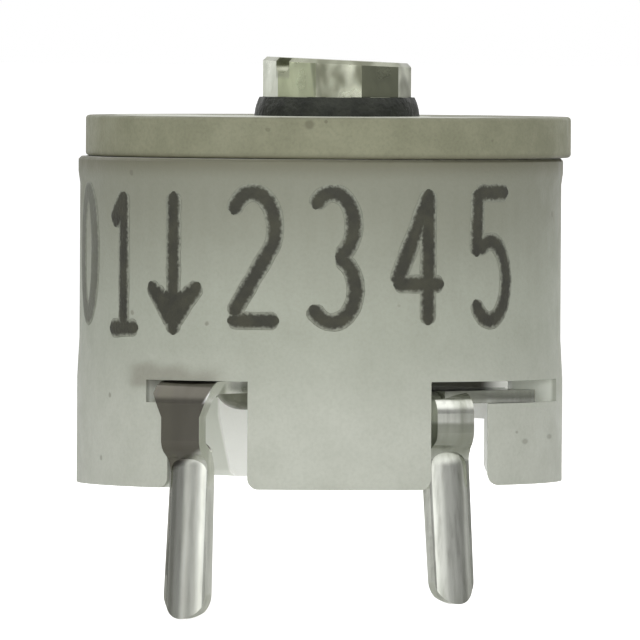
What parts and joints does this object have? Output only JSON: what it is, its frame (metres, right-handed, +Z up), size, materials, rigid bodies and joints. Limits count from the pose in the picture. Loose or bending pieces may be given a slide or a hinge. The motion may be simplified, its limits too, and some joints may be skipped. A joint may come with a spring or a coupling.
{
  "type": "trimmer capacitor",
  "caption": "Ceramic disc trimmer capacitor: a round ceramic base with sheet metal leads and a ceramic rotor disc turned by a faceted, slotted adjuster.",
  "frame": {"origin": "the base's axis at the level of its feet, where it seats on a circuit board", "axes": "+Z up along the base's axis to the adjuster, -Y to the side between the two leads, +X to the rotor's lead"},
  "size_m": [0.0099, 0.0098, 0.0112],
  "materials": {
    "base_ceramic": "satin",
    "disc_ceramic": "satin",
    "spindle_metal": "worn plating",
    "terminal_metal": "tinned",
    "spring_metal": "satin",
    "silver_layer": "matt",
    "solder": "dark, oxidised"
  },
  "bodies": {
    "base": {"stator_base": "base_ceramic", "stator_electrode": "silver_layer", "stator_terminal": "terminal_metal", "contact_pin": "terminal_metal", "pin_solder": "solder", "rotor_terminal": "terminal_metal", "spring_washer": "spring_metal"},
    "rotor": {"rotor_disc": "disc_ceramic", "rotor_electrode": "silver_layer", "spindle": "spindle_metal", "solder_collar": "solder", "thrust_washer": "spring_metal"}
  },
  "joints": [
    {"name": "rotor_turn", "type": "hinge", "parent": "base", "child": "rotor", "pos_m": [0.00032, 0, 0.00659], "axis": [0, 0, 1], "continuous": true}
  ]
}
